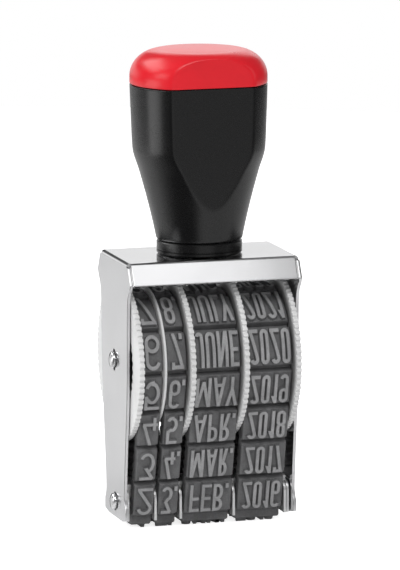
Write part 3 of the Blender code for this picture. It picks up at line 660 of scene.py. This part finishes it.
def band_stations():
    """(s, pad height share) all along the band, with its grooves, walls and inner teeth."""
    half_base = (PAD_PITCH - GROOVE_FLOOR) / 2.0
    half_top = half_base - GROOVE_WALL
    marks = []
    for pad in range(PAD_COUNT):
        centre = pad * PAD_PITCH
        marks += [(centre - half_base, 0.0), (centre - half_top - PAD_OUTSET, PAD_SHOULDER),
                  (centre - half_top + PAD_INSET, 1.0), (centre + half_top - PAD_INSET, 1.0),
                  (centre + half_top + PAD_OUTSET, PAD_SHOULDER), (centre + half_base, 0.0)]
    known = sorted((s % LOOP, share) for s, share in marks)
    made = list(known)
    step = PAD_PITCH / TEETH_PER_PAD
    for s in [step * (tooth + corner) for tooth in range(PAD_COUNT * TEETH_PER_PAD)
              for corner in TOOTH_CORNERS]:
        before = max((mark for mark in known if mark[0] <= s), default=known[-1])
        after = min((mark for mark in known if mark[0] > s), default=known[0])
        if min(abs(s - before[0]), abs(after[0] - s)) < NEAREST:
            continue
        span = (after[0] - before[0]) % LOOP
        blend = ((s - before[0]) % LOOP) / span
        made.append((s, before[1] + (after[1] - before[1]) * blend))
    return sorted(made)


def make_band(name, low, high, texts, spacing, wide):
    """Toothed loop with a pad for each text, rounded along both sides."""
    bm = bmesh.new()
    inset = BAND_BEVEL * CORNER_INSET
    rings = []
    for s, share in band_stations():
        inner = -NEUTRAL - tooth_offset(s)
        outer = NEUTRAL + PAD_RISE * share
        corner = outer - BAND_DROP * CORNER_DROP * share
        side = outer - BAND_DROP * (GROOVE_DROP + (1.0 - GROOVE_DROP) * share)
        section = ((low, inner), (low, side), (low + inset, corner), (low + BAND_BEVEL, outer),
                   (high - BAND_BEVEL, outer), (high - inset, corner), (high, side),
                   (high, inner))
        rings.append([bm.verts.new((x, *path_point(s, offset))) for x, offset in section])
    skin_rings(bm, rings)
    for pad, text in enumerate(texts):
        if text:
            add_text(bm, text, pad * PAD_PITCH, low, high, spacing, wide)
    finish_mesh(name, bm, [RUBBER, TYPE_RUBBER], "root", angle=24.0)


# Handle: the turned body and cap with two soft-edged flat facets

BODY_SHARES = ((0.0, 0.625), (0.058, 0.6515), (0.121, 0.6825), (0.252, 0.753), (0.439, 0.867),
               (0.589, 0.964), (0.757, 0.982), (0.888, 0.992), (1.0, 1.0))
BODY_RADIUS = 20.4 * MM
BODY_STEPS = 90
BODY_EDGE = 0.32 * MM
BODY_BORE = 8.65 * MM
MOUTH_RADIUS = 13.4 * MM
MOUTH_DEPTH = 6.0 * MM
COLLAR_LOW, COLLAR_HIGH = (corner.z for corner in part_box("neck_collar"))
COLLAR_RADIUS = 12.7 * MM
COLLAR_BORE = 8.9 * MM
COLLAR_GROOVE = 0.35 * MM
COLLAR_SIDES = 160
SEAM = 0.3 * MM
BODY_Z = COLLAR_HIGH + SEAM
BODY_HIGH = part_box("handle_body")[1].z
CAP_Z = BODY_HIGH + SEAM
CAP_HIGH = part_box("handle_cap")[1].z
CAP_WALL = 2.0 * MM
CAP_CROWN = BODY_RADIUS * 0.57
CAP_CROWN_RISE = 0.5 * MM
CAP_CROWN_SHARES = (0.985, 0.95, 0.9, 0.83, 0.75, 0.65, 0.5, 0.35, 0.2, 0.06)
CAP_STEPS = 44
CAP_EDGE = 0.75 * MM
SPIGOT_RADIUS = 12.9 * MM
SPIGOT_DEPTH = 4.0 * MM
FACET_HALF = 15.9 * MM
FACET_LEAN = math.tan(0.026)
OUTLINE_SIDES = 288
ROUNDING = 0.2 * MM
ROUNDING_STEP = 0.06 * MM
HANDLE_ANGLE = 50.0


def smooth_share(table, x):
    """Monotone curve through the table's points."""
    slopes = [(y1 - y0) / (x1 - x0) for (x0, y0), (x1, y1) in zip(table, table[1:])]
    tangents = [slopes[0]]
    for a, b in zip(slopes, slopes[1:]):
        tangents.append(0.0 if a * b <= 0 else 2.0 * a * b / (a + b))
    tangents.append(slopes[-1])
    for i, ((x0, y0), (x1, y1)) in enumerate(zip(table, table[1:])):
        if x <= x1:
            break
    step = x1 - x0
    t = (x - x0) / step
    return (y0 * (2 * t ** 3 - 3 * t ** 2 + 1)
            + tangents[i] * step * (t ** 3 - 2 * t ** 2 + t)
            + y1 * (3 * t ** 2 - 2 * t ** 3) + tangents[i + 1] * step * (t ** 3 - t ** 2))


def faceted_ring(bm, radius, z, edge):
    """Ring of the handle's outline at one height: two round sides and two flat facets."""
    depth = FACET_HALF + (z - CAP_Z) * FACET_LEAN
    ring = []
    for i in range(OUTLINE_SIDES):
        angle = TAU * i / OUTLINE_SIDES
        x, y = radius * math.cos(angle), radius * math.sin(angle)
        over = abs(y) - depth
        if over > -edge:
            share = min(1.0, (over + edge) / (2.0 * edge))
            y = math.copysign(depth - edge + 2.0 * edge * (share - share ** 2 / 2.0), y)
        ring.append(bm.verts.new((x, y, z)))
    return ring


def make_handle_body():
    bm = bmesh.new()
    foot = BODY_RADIUS * BODY_SHARES[0][1]
    height = BODY_HIGH - BODY_Z
    rows = [(BODY_BORE, BODY_Z), (foot - ROUNDING, BODY_Z)]
    for i in range(BODY_STEPS + 1):
        share = i / BODY_STEPS
        z = BODY_Z + height * share
        z += ROUNDING if i == 0 else -ROUNDING if i == BODY_STEPS else 0.0
        rows.append((BODY_RADIUS * smooth_share(BODY_SHARES, share), z))
    rows += [(BODY_RADIUS - ROUNDING_STEP, BODY_HIGH - ROUNDING_STEP),
             (BODY_RADIUS - ROUNDING, BODY_HIGH), (MOUTH_RADIUS, BODY_HIGH),
             (MOUTH_RADIUS, BODY_HIGH - MOUTH_DEPTH)]
    skin_capped(bm, [faceted_ring(bm, radius, z, BODY_EDGE) for radius, z in rows])
    finish_mesh("handle_body", bm, [BLACK], "root", angle=HANDLE_ANGLE)


def make_handle_cap():
    bm = bmesh.new()
    shoulder = CAP_HIGH - CAP_Z - CAP_WALL - CAP_CROWN_RISE
    rows = [(SPIGOT_RADIUS, CAP_Z - SPIGOT_DEPTH), (SPIGOT_RADIUS, CAP_Z),
            (BODY_RADIUS - ROUNDING, CAP_Z), (BODY_RADIUS - ROUNDING_STEP, CAP_Z + ROUNDING_STEP),
            (BODY_RADIUS, CAP_Z + ROUNDING)]
    for i in range(CAP_STEPS + 1):
        angle = math.pi / 2.0 * i / CAP_STEPS
        rows.append((CAP_CROWN + (BODY_RADIUS - CAP_CROWN) * math.cos(angle),
                     CAP_Z + CAP_WALL + shoulder * math.sin(angle)))
    rows += [(CAP_CROWN * share, CAP_HIGH - CAP_CROWN_RISE * share ** 2)
             for share in CAP_CROWN_SHARES]
    skin_capped(bm, [faceted_ring(bm, radius, z, CAP_EDGE) for radius, z in rows])
    finish_mesh("handle_cap", bm, [RED], "root", angle=HANDLE_ANGLE)


def make_collar():
    outer, bore = COLLAR_RADIUS, COLLAR_BORE
    low, high = COLLAR_LOW, COLLAR_HIGH
    neck = outer - COLLAR_GROOVE
    profile = [(bore, low), (outer - 0.3 * MM, low), (outer, low + 0.3 * MM),
               (outer, low + 0.9 * MM), (neck, low + 1.05 * MM), (neck, low + 1.25 * MM),
               (outer, low + 1.4 * MM), (outer, high - 0.45 * MM), (outer - 0.45 * MM, high),
               (bore, high)]
    bm = bmesh.new()
    upright_ring(bm, profile, COLLAR_SIDES)
    finish_mesh("neck_collar", bm, [BLACK], "root")


# Screws: low domed heads with a slot

SCREW_SIDES = 48
SHANK_RADIUS = 1.05 * MM
SHANK_POINT = 0.3 * MM
POINT_SHARE = 0.7
# Height of the solid's head, and how much lower the domed one is
SOLID_HEAD = 1.8 * MM
HEAD_CUT = 0.5 * MM
DOME_FOOT = 0.3 * MM
DOME_RISE = 1.0 * MM
DOME_STEPS = 10
DOME_TURN = 9.5
DOME_POWER = 0.85
SLOT_SIZE = (1.8 * MM, 0.6 * MM, 7.0 * MM)
SHARP_ANGLE = math.radians(32.0)


def cut_slot(obj, place):
    """Cuts an upright slot, its walls in a near-black metal that paints the slot's shade, and
    bakes it into the mesh.
    """
    bm = bmesh.new()
    bmesh.ops.create_cube(bm, size=1.0)
    bmesh.ops.scale(bm, vec=SLOT_SIZE, verts=bm.verts)
    bmesh.ops.translate(bm, vec=place, verts=bm.verts)
    mesh = bpy.data.meshes.new("slot")
    bm.to_mesh(mesh)
    bm.free()
    mesh.materials.append(SHADED_SLOT)
    cutter = bpy.data.objects.new("slot", mesh)
    bpy.context.scene.collection.objects.link(cutter)
    modifier = obj.modifiers.new("Slot", "BOOLEAN")
    modifier.operation = "DIFFERENCE"
    modifier.object = cutter
    modifier.solver = "EXACT"
    modifier.material_mode = "TRANSFER"
    bpy.context.view_layer.update()
    graph = bpy.context.evaluated_depsgraph_get()
    cut = bpy.data.meshes.new_from_object(obj.evaluated_get(graph))
    obj.modifiers.clear()
    old = obj.data
    obj.data = cut
    bpy.data.meshes.remove(old)
    bpy.data.objects.remove(cutter)
    obj.data.set_sharp_from_angle(angle=SHARP_ANGLE)


def make_screw(name):
    low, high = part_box(name)
    left = name.endswith("left")
    sign = -1.0 if left else 1.0
    centre_z = (low.z + high.z) / 2.0
    radius = (high.z - low.z) / 2.0
    outer = low.x if left else high.x
    seat = outer - sign * SOLID_HEAD
    tip = high.x if left else low.x
    rows = [(SHANK_RADIUS * POINT_SHARE, tip), (SHANK_RADIUS, tip + sign * SHANK_POINT),
            (SHANK_RADIUS, seat), (radius, seat)]
    for i in range(DOME_STEPS):
        turn = math.radians(DOME_TURN * i)
        rows.append((radius * math.cos(turn) ** DOME_POWER,
                     seat + sign * (DOME_FOOT + DOME_RISE * math.sin(turn))))
    bm = bmesh.new()
    rings = []
    for r, x in rows:
        rings.append([bm.verts.new((x, r * math.cos(TAU * i / SCREW_SIDES), centre_z
                                    + r * math.sin(TAU * i / SCREW_SIDES)))
                      for i in range(SCREW_SIDES)])
    skin_capped(bm, rings)
    screw = finish_mesh(name, bm, [SCREW], "root")
    cut_slot(screw, (outer - sign * HEAD_CUT, 0.0, centre_z))


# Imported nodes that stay: welded, softened at the edges and given their material

def dress(name, material, width):
    obj = frame["nodes"][name]
    obj.data.materials.clear()
    obj.data.materials.append(material)
    obj.data.shade_smooth()
    weld = obj.modifiers.new("Weld", "WELD")
    weld.merge_threshold = WELD
    flat = obj.modifiers.new("Merge flats", "DECIMATE")
    flat.decimate_type = "DISSOLVE"
    flat.angle_limit = FLAT_ANGLE
    if width:
        bevel = obj.modifiers.new("Soft edges", "BEVEL")
        bevel.width = width
        bevel.segments = 2
        bevel.limit_method = "ANGLE"
        bevel.angle_limit = math.radians(34.0)
    weight_normals(obj)


# Folded sheet. What lies between its side plates has |x| under INSIDE_X.

INSIDE_X = 25.2 * MM
PLATE_X = 25.38 * MM
SHEET_DEPTH = 1.1 * MM
SHEET_BEVEL = 0.22 * MM
CUT_ANGLE = math.radians(50.0)
SHORT_EDGE = 1.0 * MM
HEIGHT_SLACK = 0.01 * MM
SIDEWAYS = 0.35


def make_frame_sheet():
    """The folded sheet with its cut edges rounded, as stamping and plating leave them."""
    bm = bmesh.new()
    bm.from_mesh(frame["nodes"]["frame_shell"].data)
    top = max(vert.co.z for vert in bm.verts)
    bmesh.ops.remove_doubles(bm, verts=bm.verts, dist=WELD)
    bmesh.ops.dissolve_limit(bm, angle_limit=FLAT_ANGLE, verts=bm.verts, edges=bm.edges)
    apron_low = min(vert.co.z for vert in bm.verts if abs(vert.co.x) < INSIDE_X) + HEIGHT_SLACK
    cut_edges = [edge for edge in bm.edges if len(edge.link_faces) == 2
                 and not all(vert.co.z < apron_low and abs(vert.co.x) < INSIDE_X
                             for vert in edge.verts)
                 and abs(edge.calc_face_angle(0.0)) > CUT_ANGLE
                 and edge.calc_length() > SHORT_EDGE
                 and min(vert.co.z for vert in edge.verts) < top - SHEET_DEPTH]
    bmesh.ops.bevel(bm, geom=cut_edges, offset=SHEET_BEVEL, offset_type="OFFSET", segments=3,
                    profile=0.5, affect="EDGES", clamp_overlap=False)
    bmesh.ops.recalc_face_normals(bm, faces=bm.faces)
    for face in bm.faces:
        centre = face.calc_center_median()
        if abs(centre.x) > PLATE_X and centre.z < apron_low and abs(face.normal.x) < SIDEWAYS:
            face.material_index = 1
    weight_normals(finish_mesh("frame_shell", bm, [CHROME, SHEARED], "root"))


# Surroundings

FLOOR_RADIUS = 0.6
FLOOR_BACK = 0.35
FLOOR_SIDES = 96
FLOOR_DROP = 0.05 * MM
CAMERA_GLOW = 0.75
FLOOR_GLOW = 0.05
DIM_LEVEL = 0.04
# Along which axes of the floor its dim reflection sets in, and from where to where
DIM_RANGES = (("X", -0.03, -0.06), ("Y", 0.08, -0.05))
# (place, grey) along one axis of the direction, from -1 to 1
SIDE_LEVELS = ((-1.0, 0.12), (0.1, 0.06), (0.7, 0.1), (1.0, 0.25))
FRONT_LEVELS = ((-1.0, 0.55), (-0.08, 0.5), (0.1, 0.08), (0.7, 0.1), (1.0, 0.25))
BACK_LEVELS = ((-0.1, 0.3), (-0.02, 0.95), (0.19, 1.0), (0.236, 0.06), (1.0, 0.2))
FRONT_SHARES = ((-0.94, 1.0), (-0.86, 0.0))
BACK_SHARES = ((0.6, 0.0), (0.8, 1.0))
MATT_LEVELS = ((-0.3, 0.5), (0.5, 0.25))
MIDDLE = (0.0, 0.0, 0.07)
# Area lights: name, place, target, size, power
LIGHTS = (
    ("left_box", (-0.39, 0.035, 0.06), (0.0, 0.0, 0.06), (0.18, 0.16), 0.19),
    ("key_box", (-0.15, -0.75, 0.85), MIDDLE, (0.5, 0.5), 2.2),
    ("side_box", (-0.85, -0.1, 0.42), MIDDLE, (0.3, 0.3), 0.8),
    ("front_box", (0.014, -0.62, 0.72), MIDDLE, (0.55, 0.45), 0.95),
    ("shoulder_box", (-0.55, 0.45, 0.76), MIDDLE, (0.8, 0.4), 3.4),
    ("rear_box", (0.17, 0.43, 0.32), (0.0, 0.0, 0.14), (0.26, 0.2), 0.2),
    ("right_fill", (0.9, -0.45, 0.35), MIDDLE, (0.4, 0.6), 0.5))


def mixed_shader(tree, share, first, second):
    return add_node(tree, "ShaderNodeMixShader", {"Fac": share, 1: first, 2: second}).outputs[0]


def make_floor():
    """White table top, round and far larger than the stamp. Shiny surfaces mirror its front left
    part dim, and from below it can be seen through."""
    mesh = bpy.data.meshes.new("floor")
    angles = [TAU * i / FLOOR_SIDES for i in range(FLOOR_SIDES)]
    mesh.from_pydata([(FLOOR_RADIUS * math.cos(angle), FLOOR_BACK + FLOOR_RADIUS * math.sin(angle),
                       0.0) for angle in angles], [], [tuple(range(FLOOR_SIDES))])
    floor = bpy.data.objects.new("floor", mesh)
    bpy.context.scene.collection.objects.link(floor)
    floor.location.z = -FLOOR_DROP
    material, tree, shader = new_material("pale_floor", (0.86, 0.86, 0.86), 0.8, specular=0.1)
    path = add_node(tree, "ShaderNodeLightPath")
    glow = add_node(tree, "ShaderNodeMath", {
        0: path.outputs["Is Camera Ray"], 1: CAMERA_GLOW, 2: FLOOR_GLOW}, operation="MULTIPLY_ADD")
    shader.inputs["Emission Color"].default_value = (1.0, 1.0, 1.0, 1.0)
    tree.links.new(glow.outputs[0], shader.inputs["Emission Strength"])
    coords = add_node(tree, "ShaderNodeTexCoord")
    split = add_node(tree, "ShaderNodeSeparateXYZ", {0: coords.outputs["Object"]})
    share = path.outputs["Is Glossy Ray"]
    for axis, shown_from, shown_to in DIM_RANGES:
        fade = add_node(tree, "ShaderNodeMapRange", {
            "Value": split.outputs[axis], "From Min": shown_from, "From Max": shown_to})
        share = add_node(tree, "ShaderNodeMath", {0: share, 1: fade.outputs["Result"]},
                         operation="MULTIPLY").outputs[0]
    dim = add_node(tree, "ShaderNodeEmission", {"Color": (DIM_LEVEL, DIM_LEVEL, DIM_LEVEL, 1.0)})
    side = add_node(tree, "ShaderNodeNewGeometry")
    see_through = add_node(tree, "ShaderNodeBsdfTransparent")
    seen = mixed_shader(tree, share, shader.outputs[0], dim.outputs[0])
    seen = mixed_shader(tree, side.outputs["Backfacing"], seen, see_through.outputs[0])
    tree.links.new(seen, tree.nodes["Material Output"].inputs["Surface"])
    floor.data.materials.append(material)


def make_world():
    """White to the camera, soft light mostly from the front on matt surfaces, and for what shiny
    surfaces mirror a studio with a bright wall behind, dim sides and a half bright floor in
    front."""
    world = bpy.data.worlds.new("studio")
    bpy.context.scene.world = world
    world.use_nodes = True
    tree = world.node_tree
    tree.nodes.clear()
    path = add_node(tree, "ShaderNodeLightPath")
    coords = add_node(tree, "ShaderNodeTexCoord")
    split = add_node(tree, "ShaderNodeSeparateXYZ", {0: coords.outputs["Generated"]})

    def band(axis, stops):
        """Grey level over one axis of the direction, from -1 to 1."""
        share = add_node(tree, "ShaderNodeMapRange", {
            "Value": split.outputs[axis], "From Min": -1.0})
        return ramp(tree, share.outputs["Result"],
                    tuple(((place + 1.0) / 2.0, (grey, grey, grey)) for place, grey in stops))

    def blend(share, first, second):
        return add_node(tree, "ShaderNodeMix", {"Factor": share, "A": first, "B": second},
                        data_type="RGBA").outputs["Result"]

    def background(colour):
        return add_node(tree, "ShaderNodeBackground", {"Color": colour}).outputs[0]

    room = blend(band("Y", FRONT_SHARES), band("Z", SIDE_LEVELS), band("Z", FRONT_LEVELS))
    room = blend(band("Y", BACK_SHARES), room, band("Z", BACK_LEVELS))
    direct = add_node(tree, "ShaderNodeMath", {
        0: path.outputs["Is Camera Ray"], 1: path.outputs["Is Transmission Ray"]},
        operation="MAXIMUM")
    seen = mixed_shader(tree, direct.outputs[0], background(band("Y", MATT_LEVELS)),
                        background((1.0, 1.0, 1.0, 1.0)))
    seen = mixed_shader(tree, path.outputs["Is Glossy Ray"], seen, background(room))
    add_node(tree, "ShaderNodeOutputWorld", {"Surface": seen})


def make_lights():
    for name, place, target, size, power in LIGHTS:
        data = bpy.data.lights.new(name, "AREA")
        data.shape = "RECTANGLE"
        data.size, data.size_y = size
        data.energy = power
        light = bpy.data.objects.new(name, data)
        bpy.context.scene.collection.objects.link(light)
        light.location = place
        direction = Vector(target) - Vector(place)
        light.rotation_euler = direction.to_track_quat("-Z", "Y").to_euler()


# Node of each wheel without its ending, and whether its rim is on the left
WHEELS = (("day_tens", True), ("day_units", False), ("month", False), ("year", False))
DIGITS = "0123456789"
DAY_TENS = [DIGITS[(i + 1) % 10] if i < 10 else "" for i in range(PAD_COUNT)]
DAY_UNITS = [DIGITS[(i + 2) % 10] + "." if i < 10 else "" for i in range(PAD_COUNT)]
MONTHS = ["JAN.", "FEB.", "MAR.", "APR.", "MAY", "JUNE", "JULY", "AUG.", "SEP.", "OCT.", "NOV.",
          "DEC.", "", ""]
YEARS = [str(2015 + i) for i in range(PAD_COUNT)]
# Node of each band, its texts, the space between characters and their width
BANDS = (("day_tens_band", DAY_TENS, 0.0, 1.5), ("day_units_band", DAY_UNITS, 0.3 * MM, 1.2),
         ("month_band", MONTHS, 0.5 * MM, 1.0), ("year_band", YEARS, 0.5 * MM, 0.93))


def main():
    bpy.context.scene.view_settings.view_transform = "Standard"
    make_camera()
    make_floor()
    make_world()
    make_lights()
    places = {name: tuple(corner.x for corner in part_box(name)) for name in frame["nodes"]}
    rim_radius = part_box("day_tens_wheel")[1].z - AXLE_Z
    for name, rim_is_left in WHEELS:
        low, high = places[name + "_wheel"]
        rim_low, rim_high = ((low, low + RIM_THICKNESS) if rim_is_left
                             else (high - RIM_THICKNESS, high))
        make_wheel(name + "_wheel", name + "_setter", rim_low, rim_high, low, high, rim_radius)
    make_disc("day_separator_disc", "day_units_setter")
    for name, texts, spacing, wide in BANDS:
        make_band(name, *places[name], texts, spacing, wide)
    make_collar()
    make_handle_body()
    make_handle_cap()
    for name in ("axle_screw_left", "axle_screw_right", "anvil_screw_left", "anvil_screw_right"):
        make_screw(name)
    make_frame_sheet()
    for name in ("anvil_bar", "day_divider", "day_month_divider", "month_year_divider",
                 "year_divider"):
        dress(name, NICKEL, 0.1 * MM)
    for name in ("wheel_axle", "handle_bolt", "bolt_washer"):
        dress(name, ZINC, 0.0)
    dress("threaded_insert", BRASS, 0.0)


main()
